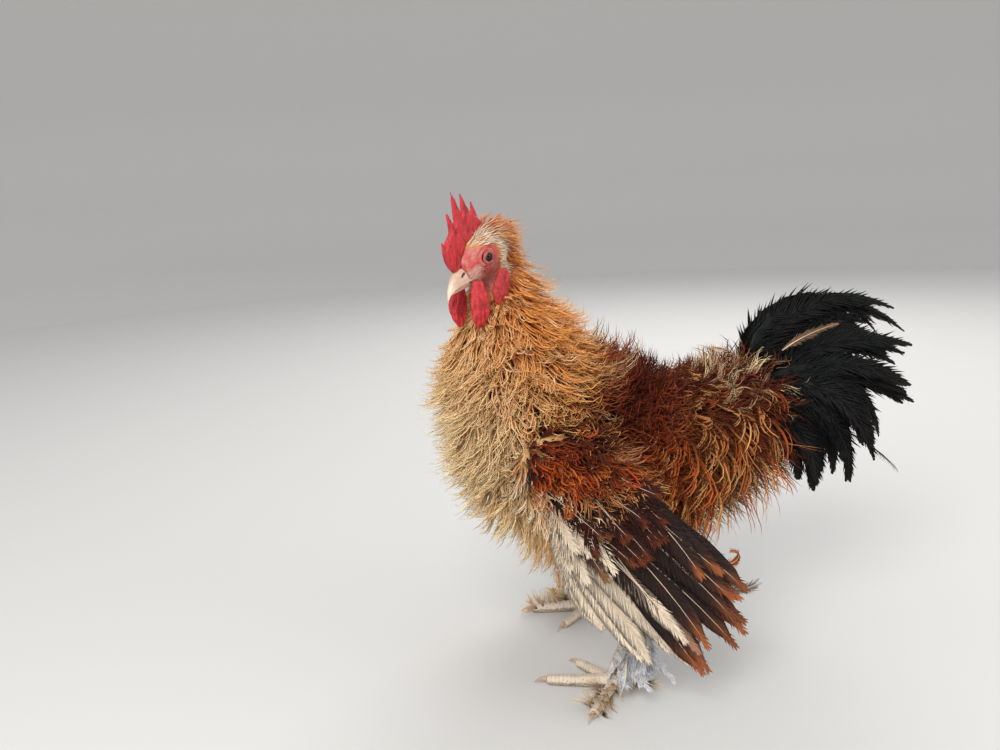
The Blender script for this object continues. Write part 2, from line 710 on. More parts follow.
feather_material, shader, brush = new_material("plumage", 0.62, Sheen_Weight=0.03, Specular_IOR_Level=0.15)
barbs, wear = grain(brush, 900, 2), grain(brush, 60, 3)
tone = barbs.span(0.2, 0.8) * 0.34 + wear.span(0.2, 0.8) * 0.22 + 0.72
lay(shader, brush, tone, wear.span(0.1, 0.9) * 0.2 + 0.5, barbs, 0.0004)


def on_arm(points):
    """True on the arm of a wing, which has its own feathers."""
    x, y, z = own(points)
    return (np.abs(y) > 0.074) & (x < 0.004) & (x > -0.124) & (z > 0.150) & (z < 0.262)


def on_head(points):
    ahead, left, up = in_head(points).T
    return (ahead**2 + left**2 + up**2 < 0.030**2) | ((ahead > -0.01) & (up < 0) & (up > -0.03))


def tract(name, seed, inside, spacing, slot, dress, strands=1):
    """One piece of plumage: evenly rooted where inside() allows, with some strands a feather, shaped by dress()."""
    coat = Plumage(seed)
    points, outward = surface_points(skin, inside, spacing, seed + 100)
    dress(coat, np.repeat(points, strands, axis=0), np.repeat(outward, strands, axis=0))
    hung(coat.join(name), feather_material, slot)


def grow(
    coat, points, outward, lie, paints, width, shape, uneven=(0.6, 1.3), thick=0.0003, keep=None, patch=body_patch,
    **laid
):
    """Adds feathers to a coat, uneven in width. keep may move their lines. patch gives their places on a map."""
    lines = courses(points, outward, lie, coat.rng, **shape)
    if keep:
        lines = keep(lines)
    coat.add(lines, width * coat.rng.uniform(*uneven, len(points)), thick, *paints, patch(points), **laid)


def neck_tract(low_place, high_place):
    def inside(points):
        place = on_body(points)[0]
        return (place > low_place) & (place <= high_place) & ~on_arm(points) & ~on_head(points)

    return inside


def dress_neck(coat, points, outward):
    place, _, tailward = on_body(points)
    grown = rise(place, 10.0, 7.6)
    shoulder = rise(7.0 - place, 0.0, 1.0) * rise(np.abs(own(points)[1]), 0.030, 0.052)
    facing = rise(-outward[:, 0], 0.2, 0.7)
    front, chest = facing * rise(place, 6.1, 6.9), facing * rise(6.7 - place, 0.0, 0.5)
    ahead, _, up = in_head(points).T
    throat = rise(ahead, -0.024, -0.004) * rise(up, -0.064, -0.040)
    tone = coat.tones(len(points), 4)
    root, tip = markings(points)
    paints = mixed(root, AMBER, (tone < 0.2) * 0.4), mixed(tip, CREAM, rise(tone, 0.80, 0.92) * 0.7)
    length = (0.034 + 0.031 * grown) * (1 - 0.2 * shoulder) * (1 - 0.22 * front) * (1 - 0.55 * throat)
    shape = dict(
        steps=7, length=length * (1 - 0.32 * chest), spread=0.34, lift=62 - 10 * (1 - grown) - 18 * front, settle=0.5,
        low=14 + 6 * grown - 10 * front, curl=130, power=2.4, fall=0.26, sway=0.60, waves=2.2, lean=0.36, strands=4,
        splay=0.20, drift=-0.50 * tailward * np.array([1.0, 1.0, 0.3]),
    )
    lie = along_skin(tailward + DOWN * 0.30, outward)
    grow(coat, points, outward, lie, paints, 0.0010 + 0.0009 * grown, shape, (0.6, 1.4), turn=0.7)


tract("hackle", 1, neck_tract(7.35, 10.0), 0.0028, "neck_plumage", dress_neck, 4)
tract("cape", 8, neck_tract(5.7, 7.35), 0.0038, "neck_plumage", dress_neck, 4)


# The breast, back, saddle and belly. Broader curled feathers clothe the trunk. Over the saddle they are long
# and narrow and hang to both sides, and behind the wings they are loose and downy.
def trunk(low_place, high_place, above):
    """Picks the trunk between two stations, over or under the line of the flanks."""

    def inside(points):
        place, around, _ = on_body(points)
        _, y, z = own(points)
        on_leg = (z < 0.135) & (np.abs(y) > 0.028)
        here = (place > low_place) & (place <= high_place) & ((np.cos(around) > -0.38) == above)
        return here & ~on_arm(points) & ~on_head(points) & ~on_leg

    return inside


def tucked(lines):
    """Keeps feathers that grow under a wing on the body's side of it."""
    places, directions, side = lines
    x, y, z = np.moveaxis(places - np.array(SHIFT), 2, 0)
    under = (x > -0.087 + 0.38 * (0.174 - z)) & (x < 0.070) & (z < 0.21)
    limit = np.where(under, 0.1115 + 0.08 * x - 0.10 * z, 1.0)
    places[..., 1] = np.clip(y, -limit, limit) + SHIFT.y
    return places, directions, side


def dress_breast(coat, points, outward):
    facing = rise(-outward[:, 0], 0.3, 0.8)
    tone = coat.tones(len(points), 4)
    root, tip = markings(points)
    paints = mixed(root, TAN, (tone < 0.2) * 0.5), mixed(tip, CREAM, rise(tone, 0.7, 0.85) * 0.7)
    shape = dict(
        steps=6, length=0.062 * (1 - 0.30 * facing), lift=54 - 18 * facing, low=20, curl=118, power=2.2, fall=0.25,
        sway=0.55, waves=2.2, lean=0.36, strands=4, splay=0.30, spread=0.34,
    )
    lie = along_skin(on_body(points)[2] + DOWN * 0.2, outward)
    grow(coat, points, outward, lie, paints, 0.0018, shape, keep=tucked, turn=0.7)


def dress_back(coat, points, outward):
    _, around, tailward = on_body(points)
    shape = dict(
        steps=6, length=0.056, lift=44 - 12 * rise(np.cos(around), 0.5, 0.9), low=15, curl=140, power=1.8, fall=0.12,
        sway=0.7, waves=2.2, lean=0.55, strands=4, splay=0.34,
    )
    lie = along_skin(tailward + DOWN * 0.25, outward)
    grow(coat, points, outward, lie, markings(points), 0.0021, shape, (0.6, 1.4), turn=0.8)


def saddle_lie(points, outward):
    """(how far down the flank, how far to the rear of it, the way the feathers hang, the way to the tail)."""
    _, around, tailward = on_body(points)
    low = rise(np.abs(around), 0.4, 1.2)
    lie = along_skin(tailward * (0.62 - 0.42 * low)[:, None] + DOWN * 1.0, outward)
    return low, rise(own(points)[0], 0.06, 0.11) * low, lie, tailward


def dress_saddle(coat, points, outward):
    _, rear, lie, _ = saddle_lie(points, outward)
    root, tip = markings(points)
    paints = root, mixed(tip, RUST * 0.5, np.full(len(points), 0.88))
    shape = dict(
        steps=6, length=0.052 + 0.016 * rear, lift=44 + 16 * rear, low=14 + 8 * rear, curl=110, fall=0.5, sway=0.6,
        waves=2.2, lean=0.36, strands=4, splay=0.30, spread=0.3,
    )
    grow(coat, points, outward, lie, paints, 0.0019, shape, (0.6, 1.4), turn=0.7)


def dress_lace(coat, points, outward):
    low, rear, lie, tailward = saddle_lie(points, outward)
    tone = coat.tones(len(points), 3)
    tip = mixed(mixed(AMBER, BUFF * 0.85, rise(tone, 0.2, 0.8)), RUST, (1 - low) * (tone < 0.5) * 0.5)
    shape = dict(
        steps=10, length=(0.056 + 0.034 * low) * (0.86 + 0.14 * rise(own(points)[0], 0.0, 0.05)), lift=62, settle=0.3,
        low=20 + 6 * rear, curl=64, power=3.0, fall=0.45, sway=0.60, waves=2.2, lean=0.18, strands=3, splay=0.07,
        spread=0.25, drift=-(2.3 - 1.3 * rear)[:, None] * tailward * np.array([1.0, 1.0, 0.2]),
    )
    paints = mixed(CHESTNUT, RUST, tone), tip
    grow(coat, points, outward, lie, paints, 0.0026, shape, thick=0.0004, keep=tucked, turn=0.4, blend=(0.2, 0.7))


def dress_belly(coat, points, outward):
    x, y, _ = own(points)
    close = 1 - 0.55 * rise(np.abs(y), 0.046, 0.062) * rise(0.062 - x, 0.0, 0.02) * rise(x, -0.10, -0.08)
    rear = rise(x, 0.05, 0.10)
    shape = dict(
        steps=7, length=(0.070 + 0.012 * rear) * close, lift=(40 + 14 * rear) * close, low=18 * close,
        curl=60 * close, fall=0.6, sway=0.5, waves=2.0, lean=0.4, strands=3, splay=0.32,
    )
    lie = along_skin(on_body(points)[2] + DOWN * 0.6, outward)
    grow(coat, points, outward, lie, markings(points), 0.0020, shape, keep=tucked, turn=0.8)


tract("breast_feathers", 2, trunk(4.3, 5.7, False), 0.0038, "body_plumage", dress_breast, 4)
tract("back_feathers", 3, trunk(3.5, 5.7, True), 0.0038, "body_plumage", dress_back, 4)
tract("saddle_feathers", 4, trunk(0.6, 3.5, True), 0.0037, "body_plumage", dress_saddle, 4)
tract("saddle_lace", 9, trunk(0.9, 4.1, True), 0.0062, "body_plumage", dress_lace, 3)
tract("belly_feathers", 5, trunk(0.6, 4.3, False), 0.0042, "body_plumage", dress_belly, 3)


# The thighs. Loose half-curled feathers hang round them to the hocks. They are longest at the top, and kept on
# the body's side of the wings.
def on_thigh(points):
    x, y, z = own(points)
    return (z < 0.150) & (np.abs(y) > 0.028) & (x > -0.07) & (x < 0.05)


def dress_thighs(coat, points, outward):
    shape = dict(
        steps=5, length=0.030 + 0.16 * np.clip(own(points)[2] - 0.09, 0, 0.08), lift=28, low=12, curl=56, fall=0.3,
        sway=0.5, waves=2.0, lean=0.4, strands=3, splay=0.34,
    )
    lie = along_skin(np.array([0.22, 0.0, -1.0]), outward)
    grow(coat, points, outward, lie, markings(points), 0.0018, shape, keep=tucked, turn=0.7)


tract("thigh_feathers", 6, on_thigh, 0.0038, "leg_plumage", dress_thighs, 3)


# The bows of the wings. Short broad feathers curl every way over the arm, mottled orange, red and black,
# with a cream edge in front.
BOW_EDGE, FLAME = sun(240, 216, 180), sun(190, 80, 30)


def bow_colours(points):
    at = points - np.array(SHIFT)
    x, _, z = at.T
    mottle, fleck = speckle(at, 45, 21), speckle(at, 110, 33)
    root = mixed(CHESTNUT * 0.8, OXBLOOD, rise(mottle, 0.35, 0.6))
    tip = mixed(FLAME, RUST, rise(mottle, 0.48, 0.68))
    tip = mixed(tip, ORANGE, rise(fleck, 0.56, 0.7))
    above = rise(z + 0.3 * x, 0.205, 0.235)
    tip = mixed(tip, UMBER, np.maximum(rise(0.44 - fleck, 0, 0.08) * (1 - above), above * rise(0.60 - fleck, 0, 0.1)))
    tip = mixed(tip, TAN * 0.6, above * rise(fleck, 0.56, 0.66))
    tip = mixed(tip, BUFF * 0.9, rise(0.222 - z, 0.0, 0.010) * rise(x, -0.070, -0.055) * rise(mottle, 0.38, 0.52))
    low = rise(0.220 + 0.9 * np.minimum(-0.088 - x, 0.0) - z + 0.02 * (fleck - 0.5), 0.0, 0.010)
    low = np.maximum(low, rise(-x, 0.104, 0.110))
    root, tip = mixed(root, BUFF * 0.8, low), mixed(tip, BOW_EDGE, low)
    return root, mixed(tip, BUFF, low * rise(fleck, 0.52, 0.62) * 0.6)


def wing_patch(points):
    """The arm's own unwrap: its outer face laid flat, root to hand."""
    x, _, z = own(points)
    return np.stack([0.05 + 0.85 * (x + 0.12) / 0.14, 0.05 + 0.85 * (z - 0.14) / 0.12], 1)


def dress_bow(coat, points, outward):
    shape = dict(
        steps=6, length=0.031 * (1 - 0.45 * rise(-own(points)[0], 0.104, 0.120)), lift=30, low=10, curl=120, fall=0.12,
        sway=0.6, waves=2.0, lean=0.6, strands=5, splay=0.42, spread=0.35,
    )
    lie = along_skin(np.array([0.62, 0.0, -0.78]), outward)
    paints = bow_colours(points)
    grow(coat, points, outward, lie, paints, 0.0025, shape, (0.5, 1.4), 0.0004, patch=wing_patch, turn=0.8)


def arm_of(sign):
    def inside(points):
        return on_arm(points) & (own(points)[1] * sign > 0.074)

    return inside


for side, sign in SIDES.items():
    tract(f"bow_{side}", 20 + sign, arm_of(sign), 0.0035, "wing_plumage", dress_bow, 5)


# The wing feathers. Primaries from the hand and secondaries from the forearm hang in one fan, each a pale
# shaft with two rows of barbs, and two tiers of coverts lie over their roots.
HAND_TIP, WRIST, ELBOW = (-0.082, 0.096, 0.174), (-0.096, 0.096, 0.212), (-0.026, 0.096, 0.212)
FLIGHT_TIPS = (
    (-0.054, 0.098, 0.100), (-0.022, 0.100, 0.066), (0.012, 0.104, 0.050), (0.050, 0.104, 0.053),
    (0.066, 0.104, 0.092), (0.050, 0.104, 0.138),
)
WING_OUTWARD = (-0.08, 0.99, 0.10)
PRIMARY_SHARE = 0.45


def along(points, share):
    place = min(max(share, 0), 1) * (len(points) - 1)
    first = min(int(place), len(points) - 2)
    return Vector(points[first]).lerp(Vector(points[first + 1]), place - first)


def flight_outline(t):
    return np.minimum(1, 0.35 + 0.65 * t / 0.2) * np.sqrt(np.clip(1.04 - t**3, 0, 1))


def barbed(
    coat, lines, width, barbs, root_colour, tip_colour, shaft_colour, patch, barb_width=0.0022, tilt=(50, 15), curl=26,
    ragged=0.18, outline=flight_outline, shaft=0.0015, web=0.7, toned=(0.72, 0.98)
):
    """Feathers with a shaft along each line, a thin web, and barbs in a row down both sides of it."""
    places, directions, side = lines
    count, stops = places.shape[0], places.shape[1] - 1
    flat = {"fray": 0.05, "turn": 0.0, "shade": 0.05}
    coat.add(lines, shaft, 0.0019, shaft_colour, shaft_colour, patch, outline=lambda t: 1 - 0.8 * t, **flat)
    coat.add(lines, width * web, 0.0002, root_colour, tip_colour, patch, outline=outline, blend=toned, **flat)
    t = (np.arange(barbs) + 0.5) / barbs * 0.97 + 0.03
    first = np.minimum((t * stops).astype(int), stops - 1)
    part = (t * stops - first)[None, :, None]
    base = places[:, first] * (1 - part) + places[:, first + 1] * part
    ahead = unit(directions[:, first] * (1 - part) + directions[:, first + 1] * part)
    across = unit(side[:, None] - ahead * (side[:, None] * ahead).sum(2, keepdims=True))
    over = np.cross(across, ahead)
    angle = np.radians(tilt[0] + (tilt[1] - tilt[0]) * t)[None, :, None]
    half = 0.5 * np.broadcast_to(width, (count,))[:, None] * outline(t)[None] / np.sin(np.maximum(angle[..., 0], 0.6))
    tone = np.broadcast_to(rise(t, *toned)[None, :, None], (count, barbs, 1))
    root_colour, tip_colour = (np.broadcast_to(c, (count, 3))[:, None] for c in (root_colour, tip_colour))
    colour = root_colour * (1 - tone) + tip_colour * tone
    for sign in (-1, 1):
        heading = ahead * np.cos(angle) + across * np.sin(angle) * sign
        rows = courses(
            base.reshape(-1, 3), over.reshape(-1, 3), heading.reshape(-1, 3), coat.rng, steps=3, length=half.ravel(),
            spread=ragged, low=2, curl=curl, fall=0.04, sway=0.1, lean=0.05, sunk=0.0,
        )
        spots = np.repeat(patch, barbs, axis=0)
        paint = colour.reshape(-1, 3)
        coat.add(rows, barb_width, 0.00025, paint, paint * 1.12, spots, fray=0.1, turn=0.08, shade=0.10)


def fan(count, reach, spacing, start, sign, rng):
    """(roots, outward, lie, length, share along the hand) of a tier of the wing."""
    flipped = Vector((1, sign, 1))
    outward = (Vector(WING_OUTWARD) * flipped).normalized()
    rows = []
    for i in range(count):
        share = (i + 0.5) / count
        if share < PRIMARY_SHARE:
            root = Vector(HAND_TIP).lerp(Vector(WRIST), share / PRIMARY_SHARE)
        else:
            root = Vector(WRIST).lerp(Vector(ELBOW), (share - PRIMARY_SHARE) / (1 - PRIMARY_SHARE))
        tip = along(FLIGHT_TIPS, share + rng.uniform(-0.012, 0.012))
        root, tip = (p * flipped + SHIFT for p in (root, tip))
        away = tip - root
        away -= outward * away.dot(outward)
        rows.append((root + outward * (start + spacing * i), outward, away.normalized(), away.length * reach, share))
    return (np.array(values, float) for values in zip(*rows))


PRIMARY_TINT, SECONDARY_TINT, SECONDARY_TIP = sun(224, 206, 182), sun(44, 28, 23), sun(176, 98, 54)
SHAFT_TINT = sun(226, 204, 176)
WING_TIERS = (
    # number of feathers, reach, spacing, start and width of the tier, barbs to a side, lift in degrees
    (24, 1.0, 0.00088, -0.0105, 0.027, 72, 2),
    (14, 0.47, 0.0009, 0.0006, 0.021, 40, 7),
    (16, 0.32, 0.0007, 0.0026, 0.019, 30, 11),
)
for side, sign in SIDES.items():
    wing = Plumage(40 + sign)
    for count, reach, spacing, start, width, barbs, lift in WING_TIERS:
        roots, outward, lie, length, share = fan(count, reach, spacing, start, sign, wing.rng)
        lines = courses(
            roots, outward, lie, wing.rng, steps=9, length=length, spread=0.08, lift=lift, low=1, curl=9 + 2.0 * lift,
            fall=0.05, sway=0.08 + 0.012 * lift, waves=1.3, lean=0.05 + 0.01 * lift, sunk=0.0,
        )
        white = rise(0.45 + 0.04 * reach - share + 0.006 * wing.rng.normal(0, 1, count), 0, 0.02)
        root, tip = mixed(SECONDARY_TINT, PRIMARY_TINT, white), mixed(SECONDARY_TIP, PRIMARY_TINT, white)
        if reach < 1:
            sandy = rise(0.60 - share, 0.0, 0.15) * (1 - white) * wing.rng.uniform(0.2, 1.0, count)
            root, tip = mixed(root, OXBLOOD, 0.7 * (1 - white)), mixed(tip, RUST, 0.7 * (1 - white))
            tip = mixed(root, mixed(tip, BUFF, sandy * 0.8), np.maximum(white, 0.45))
        tint = wing.rng.uniform(0.8, 1.08, (count, 1))
        frizz = dict(curl=30 + 3 * lift, ragged=0.24 + 0.02 * lift, web=0.7 - 0.02 * lift)
        if reach == 1:
            frizz = dict(curl=-4, ragged=0.14, web=0.92, shaft=0.0017)
            tip = mixed(root, tip, wing.rng.uniform(0.45, 1.0, count))
        barbed(
            wing, lines, width, barbs, root * tint, tip * tint, SHAFT_TINT, wing_patch(roots), barb_width=0.0016,
            toned=(0.78, 1.0), **frizz
        )
    hung(wing.join(f"wing_feathers_{side}"), feather_material, "wing_plumage", f"wing_{side}")


# The tail. Black sickles and main feathers rise from the rump in two walls, arch over and hang, and shorter
# ones fall to both sides. Their barbs are loose and curled, so the whole is bushy.
TAIL_ROOT = (0.143, 0.0, 0.240)
TAIL_LAYERS = (
    # from the middle outwards: distance from the middle in mm, bearing, rise, fall, earliness, length, width
    (1.6, 2, 108, 172, 0.4, 0.206, 0.027),
    (3.8, 5, 96, 148, 0.4, 0.204, 0.027),
    (6.0, 9, 80, 118, 0.4, 0.188, 0.028),
    (8.2, 13, 60, 96, 0.3, 0.172, 0.029),
    (10.4, 18, 48, 84, 0.3, 0.164, 0.029),
    (12.4, 23, 34, 74, 0.2, 0.158, 0.029),
    (14.4, 29, 78, 168, 0.5, 0.165, 0.024),
    (16.2, 36, 58, 152, 0.6, 0.146, 0.025),
    (18.0, 40, 40, 138, 0.6, 0.134, 0.025),
    (19.8, 44, 22, 122, 0.6, 0.120, 0.025),
    (21.4, 48, 4, 102, 0.6, 0.106, 0.024),
    (22.8, 52, -14, 80, 0.5, 0.092, 0.023),
)
TAIL_STEPS, TAIL_ROLL, TAIL_COUNT, TAIL_SUNK = 10, math.radians(62), 32, 0.006


def sickle_outline(t):
    return np.minimum(1, 0.4 + 0.6 * t / 0.15) * np.clip(1.02 - t**3, 0, 1) ** 0.8


def tail_lines(count, sign, rng):
    """(lines, widths) of the feathers on one side of the tail."""
    places, directions, sides, widths = [], [], [], []
    for i in range(count):
        row = smooth_row(TAIL_LAYERS, (len(TAIL_LAYERS) - 1) * i / (count - 1))
        out, bearing, up, fall, early, length, width = row
        turn = math.radians(bearing + rng.uniform(-3, 3)) * sign
        lie = Vector((math.cos(turn), math.sin(turn), 0))
        side = lie.cross(Vector((0, 0, 1)))
        heading = Matrix.Rotation(math.radians(up + rng.uniform(-6, 6)), 3, side) @ lie
        fall = math.radians(fall + rng.uniform(-12, 12))
        length *= rng.uniform(0.88, 1.05)
        place = placed(*TAIL_ROOT) + Vector((0, sign * out * 0.001, -0.0003 * out)) - heading * TAIL_SUNK
        line, ways, flat = [], [], []
        for k in range(TAIL_STEPS + 1):
            line.append(place)
            ways.append(heading)
            across = heading.cross(side.cross(heading)).normalized()
            flat.append(Matrix.Rotation(-TAIL_ROLL * sign, 3, heading) @ across)
            place = place + heading * (length + TAIL_SUNK) / TAIL_STEPS
            sooner = 1 + early * (1 - 2 * (k + 0.5) / TAIL_STEPS)
            heading = Matrix.Rotation(-fall / TAIL_STEPS * sooner, 3, side) @ heading
        places.append(line)
        directions.append(ways)
        sides.append(flat[len(flat) // 2])
        widths.append(width * 1.12)
    return tuple(np.array(rows, float) for rows in (places, directions, sides)), np.array(widths)


tail_material, shader, brush = new_material("tail_gloss", 0.42, Specular_IOR_Level=0.14)
barbs, wear = grain(brush, 800, 2), grain(brush, 30, 2)
green = wear.span(0.35, 0.75).mix((0.0008, 0.0007, 0.0007, 1), (0.0008, 0.0040, 0.0034, 1))
lay(shader, brush, barbs.span(0.2, 0.8) * 0.5 + 0.6, barbs * 0.25 + 0.3, barbs, 0.0004, green)
TAIL_TINT, TAIL_TIP = sun(15, 12, 12), sun(27, 20, 18)
tail = Plumage(50)
for sign in SIDES.values():
    lines, widths = tail_lines(TAIL_COUNT, sign, tail.rng)
    spots = np.stack([np.linspace(0.1, 0.9, TAIL_COUNT), np.full(TAIL_COUNT, 0.5 + 0.3 * sign)], 1)
    barbed(
        tail, lines, widths, 64, TAIL_TINT, TAIL_TIP, TAIL_TIP, spots, barb_width=0.0024, tilt=(44, 14), curl=32,
        ragged=0.30, web=0.62, outline=sickle_outline,
    )
hung(tail.join("tail_feathers"), tail_material, "tail_plumage", "tail")


# Loose ends. Cream down stands at the root of the tail, a buff feather lies among the black, a black one leans
# out from under them, and a curled orange one and a thin grey one have worked loose behind the near wing.
def on_rump(points):
    place, around, _ = on_body(points)
    return (place < 2.0) & (np.cos(around) > 0.25) | (place < 0.8)


def dress_down(coat, points, outward):
    tone = coat.tones(len(points), 5)
    paints = mixed(GREY, TAN, tone), mixed(TAN, CREAM, rise(tone, 0.2, 0.7))
    shape = dict(
        steps=7, length=0.040, lift=70, settle=0.6, low=30, curl=110, power=2.2, fall=0.1, sway=0.8, waves=2.4,
        lean=0.6, strands=5, splay=0.4, spread=0.35,
    )
    lie = along_skin(on_body(points)[2] + DOWN * 0.1, outward)
    grow(coat, points, outward, lie, paints, 0.0011, shape, turn=0.6, blend=(0.05, 0.6))


tract("tail_down", 10, on_rump, 0.0046, "tail_plumage", dress_down, 5)
DUN, SAND = TAN * 0.45, TAN * 0.8
LOOSE = (
    # root, way it lies, side it turns to, length, width, curl, colours at root, tip and shaft
    ((0.160, -0.030, 0.285), (0.80, -0.10, 0.55), (0.3, -0.9, 0.2), 0.056, 0.010, 62, DUN, SAND, SHAFT_TINT),
    ((0.044, -0.112, 0.124), (0.90, -0.15, -0.12), (0.1, -0.3, 0.95), 0.044, 0.013, 210, AMBER, ORANGE, SHAFT_TINT),
    ((0.056, -0.106, 0.100), (0.85, -0.05, -0.30), (0.3, -0.3, 0.8), 0.040, 0.014, 70, GREY, BLUE_WHITE, SHAFT_TINT),
    ((0.142, -0.018, 0.240), (0.78, -0.55, -0.24), (0.25, -0.3, -0.9), 0.136, 0.032, 34, BLACK, BLACK, BLACK),
)
loose = Plumage(70)
for root, way, out, length, width, curl, *tints in LOOSE:
    root, way, out = (np.array([v], float) for v in (placed(*root), way, out))
    out, way = unit(along_skin(out, unit(way))), unit(way)
    lines = courses(
        root, out, way, loose.rng, steps=10, length=length, low=2, curl=curl, sway=0.2, spread=0.0, lean=0.0, sunk=0.0
    )
    airy = dict(barb_width=0.0011, curl=50, ragged=0.35, web=0.3, shaft=0.0008)
    barbed(loose, lines, width, 40, *tints, body_patch(root), **airy)
hung(loose.join("loose_feathers"), feather_material, "wing_plumage")


# The small feathers of the head. They grow backwards from the face, short and close, cream by the eye and
# orange towards the nape.
def behind_eye(points):
    """How far points lie behind a line that slants back from the eyes to the crown."""
    ahead, _, up = in_head(points).T
    return 0.73 * np.maximum(up, 0) - ahead


def head_tract(points):
    return on_head(points) & (on_face(points) < 0.45) & (in_head(points)[:, 0] < 0.016)


def head_patch(points):
    ahead, _, up = in_head(points).T
    return np.stack([0.2 + 6 * ahead + 0.3, 0.5 + 6 * up], 1)


def dress_head(coat, points, outward):
    behind = rise(behind_eye(points), 0.015, 0.028)
    shape = dict(
        steps=4, length=0.0065 + 0.017 * behind, lift=24 + 24 * behind, settle=0.5, low=9 + 8 * behind, curl=45,
        fall=0.1, sway=0.3, waves=1.2, lean=0.25, sunk=0.0006,
    )
    lie = along_skin(np.array(-FORWARD * 0.9) + DOWN * 0.55, outward)
    paints = mixed(STRAW, AMBER, behind), mixed(PEARL, ORANGE, behind)
    width = 0.0010 + 0.0005 * behind
    grow(coat, points, outward, lie, paints, width, shape, (0.7, 1.3), 0.00025, patch=head_patch)


def nape_tract(points):
    return on_head(points) & (behind_eye(points) > 0.019) & (in_head(points)[:, 2] > -0.026)


def dress_nape(coat, points, outward):
    behind, crown = rise(behind_eye(points), 0.014, 0.034), rise(in_head(points)[:, 2], 0.004, 0.020)
    shape = dict(
        steps=6, length=(0.016 + 0.022 * behind) * (1 - 0.5 * crown), lift=(40 + 28 * behind) * (1 - 0.9 * crown),
        settle=0.6, low=(12 + 12 * behind) * (1 - 0.8 * crown), curl=80 - 64 * crown, power=2.2, fall=0.3, sway=0.5,
        waves=2.0, lean=0.3, strands=3, splay=0.2, spread=0.3,
    )
    lie = along_skin(np.array(-FORWARD) + DOWN * 0.45, outward)
    paints = mixed(AMBER, ORANGE, speckle(points, 120, 5)), mixed(BUFF, HONEY * np.array([0.95, 0.78, 0.6]), behind)
    grow(coat, points, outward, lie, paints, 0.0011, shape, (0.6, 1.4), 0.00025, turn=0.6)


tract("head_feathers", 7, head_tract, 0.00125, "neck_plumage", dress_head)
tract("nape_feathers", 11, nape_tract, 0.0022, "neck_plumage", dress_nape, 3)


# The comb, wattles and ear lobes. Soft red flesh with a fine grain of warts, folded a little, and thin at the
# rims. Each is worked finer from its solid.
def modelled_on(name, nodes, voxel, rounds):
    """A new piece with the surfaces of solids, made even and ready to be worked."""
    bm = bmesh.new()
    for node in nodes:
        bm.from_mesh(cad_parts[node].data)
    bmesh.ops.remove_doubles(bm, verts=bm.verts[:], dist=0.00001)
    piece = add_object(name, bm)
    cast(piece, voxel, rounds)
    return piece


def pushed(piece, heights):
    """Moves each vertex of a piece out by its height."""
    places = vertex_rows(piece.data) + vertex_rows(piece.data, "normal") * heights[:, None]
    places[:, 2] = np.maximum(places[:, 2], 0.0)
    piece.data.vertices.foreach_set("co", places.astype(np.float32).ravel())
    piece.data.update()


COMB_RED, COMB_DEEP, LOBE_RED = sun(208, 46, 54), sun(166, 28, 36), sun(184, 46, 42)
flesh_material, shader, brush = new_material(
    "comb_flesh", 0.44, (1.0, 0.25, 0.15), Subsurface_Weight=0.16, Subsurface_Scale=0.003
)
warts = 1 - grain(brush, 950, kind="ShaderNodeTexVoronoi")
mottle, fine = grain(brush, 240, 3), grain(brush, 1500, 2)
tone = mottle.span(0.25, 0.75) * 0.35 + warts * 0.2 + 0.62
lay(shader, brush, tone, mottle * 0.25 + 0.30, warts * 0.6 + fine * 0.4, 0.0008)
for name, node, voxel, folds, colour in (
    ("comb_flesh", "comb", 0.00055, 260, COMB_RED),
    ("wattle_flesh_left", "wattle_left", 0.00045, 330, COMB_RED),
    ("wattle_flesh_right", "wattle_right", 0.00045, 330, COMB_RED),
    ("lobe_flesh_left", "ear_lobe_left", 0.00045, 420, LOBE_RED),
    ("lobe_flesh_right", "ear_lobe_right", 0.00045, 420, LOBE_RED),
):
    piece = modelled_on(name, [node], voxel, 5)
    places = vertex_rows(piece.data)
    fold, wart = speckle(places * np.array([1, 1, 0.45]), folds, 4), speckle(places, 1100, 6)
    pushed(piece, 0.0016 * (fold - 0.5) + 0.0005 * (wart - 0.5))
    stain(piece, mixed(COMB_DEEP, colour, rise(fold * 0.7 + wart * 0.3, 0.30, 0.55)))
    hung(piece, flesh_material, "comb_skin", node)


